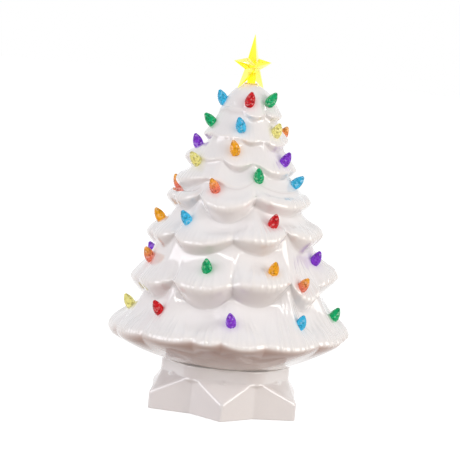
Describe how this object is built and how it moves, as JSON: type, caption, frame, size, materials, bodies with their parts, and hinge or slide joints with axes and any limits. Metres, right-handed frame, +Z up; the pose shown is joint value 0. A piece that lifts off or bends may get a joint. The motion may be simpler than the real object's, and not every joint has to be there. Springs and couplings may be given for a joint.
{
  "type": "ceramic christmas tree",
  "caption": "White glazed ceramic table-top christmas tree with scalloped branch tiers, coloured flame bulbs and a yellow star, lit from inside by a battery lamp in its star-shaped base.",
  "frame": {"origin": "centre of the underside, on the surface that the foot pads stand on", "axes": "+Z up along the tree's axis, -Y to the front (one point of the base faces it), +X to the viewer's right"},
  "size_m": [0.243, 0.2407, 0.381],
  "materials": {
    "tree_body": "gloss glaze",
    "star_base": "gloss glaze",
    "star_topper": "translucent gloss",
    "star_ferrule": "gloss",
    "foot_pads": "matte",
    "seat_ring": "matte",
    "lamp_housing": "matte",
    "battery_door": "matte",
    "aa_cells": "gloss",
    "contact_plates": "satin",
    "contact_springs": "satin",
    "led_board": "solder mask",
    "board_screws": "satin",
    "leds": "clear",
    "door_pins": "satin",
    "switch_body": "matte",
    "switch_knob": "matte",
    "bulbs_red": "translucent gloss",
    "bulbs_green": "translucent gloss",
    "bulbs_blue": "translucent gloss",
    "bulbs_purple": "translucent gloss",
    "bulbs_yellow": "translucent gloss",
    "bulbs_amber": "translucent gloss",
    "bulbs_coral": "translucent gloss"
  },
  "bodies": {
    "base": {"star_base": "star_base", "foot_pads": "foot_pads", "seat_ring": "seat_ring", "lamp_housing": "lamp_housing", "aa_cells": "aa_cells", "contact_plates": "contact_plates", "contact_springs": "contact_springs", "led_board": "led_board", "board_screws": "board_screws", "leds": "leds", "door_pins": "door_pins", "switch_body": "switch_body"},
    "tree": {"tree_body": "tree_body", "bulbs_red": "bulbs_red", "bulbs_green": "bulbs_green", "bulbs_blue": "bulbs_blue", "bulbs_purple": "bulbs_purple", "bulbs_yellow": "bulbs_yellow", "bulbs_amber": "bulbs_amber", "bulbs_coral": "bulbs_coral"},
    "ferrule": {"star_ferrule": "star_ferrule"},
    "star": {"star_topper": "star_topper"},
    "door": {"battery_door": "battery_door"},
    "switch": {"switch_knob": "switch_knob"}
  },
  "joints": [
    {"name": "tree_lift", "type": "slide", "parent": "base", "child": "tree", "axis": [0, 0, 1], "range_m": [0, 0.08]},
    {"name": "star_lift", "type": "slide", "parent": "tree", "child": "ferrule", "axis": [0, 0, 1], "range_m": [0, 0.025]},
    {"name": "star_turn", "type": "hinge", "parent": "ferrule", "child": "star", "pos_m": [0, 0, 0.33], "axis": [0, 0, 1], "continuous": true},
    {"name": "door_hinge", "type": "hinge", "parent": "base", "child": "door", "pos_m": [0, -0.032, 0.00425], "axis": [-1, 0, 0], "range_deg": [0, 95]},
    {"name": "switch_slide", "type": "slide", "parent": "base", "child": "switch", "axis": [1, 0, 0], "range_m": [0, 0.004]}
  ]
}
